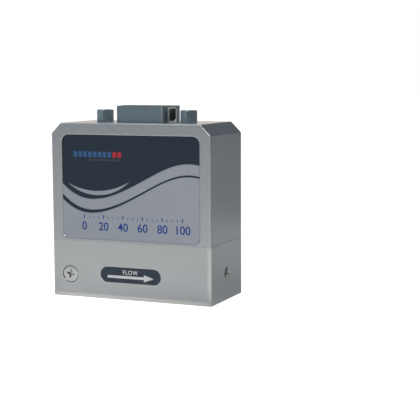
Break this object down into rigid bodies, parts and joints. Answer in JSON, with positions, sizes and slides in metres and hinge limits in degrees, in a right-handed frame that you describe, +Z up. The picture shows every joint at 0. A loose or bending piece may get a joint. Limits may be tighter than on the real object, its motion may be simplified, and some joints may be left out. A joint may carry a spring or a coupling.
{
  "type": "gas mass flow controller",
  "caption": "Small in-line gas mass flow controller: ported metal block with a thermal sensor and solenoid valve under a cover with a D connector on top.",
  "frame": {"origin": "centre of the foot, on the surface it stands on", "axes": "+X along the gas flow from inlet to outlet, +Z up towards the connector, the labelled front faces -Y"},
  "size_m": [0.0466, 0.0216, 0.0514],
  "materials": {
    "block_metal": "fine satin, clear anodised",
    "cover_metal": "satin, clear anodised",
    "label_film": "satin film",
    "label_ink": "satin ink",
    "dark_film": "gloss film",
    "badge_film": "satin film",
    "arrow_ink": "satin ink",
    "plated_screw": "nickel plated",
    "jack_metal": "plated",
    "connector_metal": "tin plated",
    "stainless": "machined",
    "yoke_steel": "zinc plated",
    "brass": "turned",
    "gold_contact": "gold plated",
    "seal_rubber": "matt",
    "bobbin_plastic": "moulded",
    "coil_wire": "enamelled wire",
    "black_plastic": "moulded",
    "board": "solder mask",
    "component": "moulded",
    "capacitor": "moulded"
  },
  "bodies": {
    "housing": {"flow_block": "block_metal", "cover": "cover_metal", "front_label": "label_film", "front_label_print": "label_ink", "back_label": "dark_film", "flow_badge": "badge_film", "flow_arrow": "arrow_ink", "front_screw": "plated_screw", "valve_screws": "plated_screw", "sensor_screws": "plated_screw", "bracket_screws": "plated_screw", "jackscrews": "jack_metal", "clinch_nuts": "jack_metal", "connector_shell": "connector_metal", "connector_rear_shell": "connector_metal", "laminar_element": "stainless", "inlet_screen": "stainless", "core_tube": "stainless", "fixed_core": "stainless", "valve_nut": "stainless", "valve_yoke": "yoke_steel", "board_brackets": "yoke_steel", "valve_seat": "brass", "connector_pins": "gold_contact", "coil_terminals": "gold_contact", "cover_seal": "seal_rubber", "valve_seal": "seal_rubber", "sensor_seals": "seal_rubber", "sensor_gasket": "seal_rubber", "coil_bobbin": "bobbin_plastic", "sensor_manifold": "bobbin_plastic", "coil_winding": "coil_wire", "connector_insulator": "black_plastic", "sensor_header": "black_plastic", "main_board": "board", "sensor_board": "board", "processor": "component", "board_parts": "component", "power_inductor": "component", "sensor_chip": "component", "board_capacitors": "capacitor", "plunger_spring": "stainless"},
    "plunger": {"plunger": "stainless", "poppet_seal": "seal_rubber"}
  },
  "joints": [
    {"name": "plunger_lift", "type": "slide", "parent": "housing", "child": "plunger", "axis": [0, 0, 1], "range_m": [0, 0.0004], "stiffness_N_per_m": 300, "springref_m": -0.0033, "deforming": ["plunger_spring"]}
  ]
}
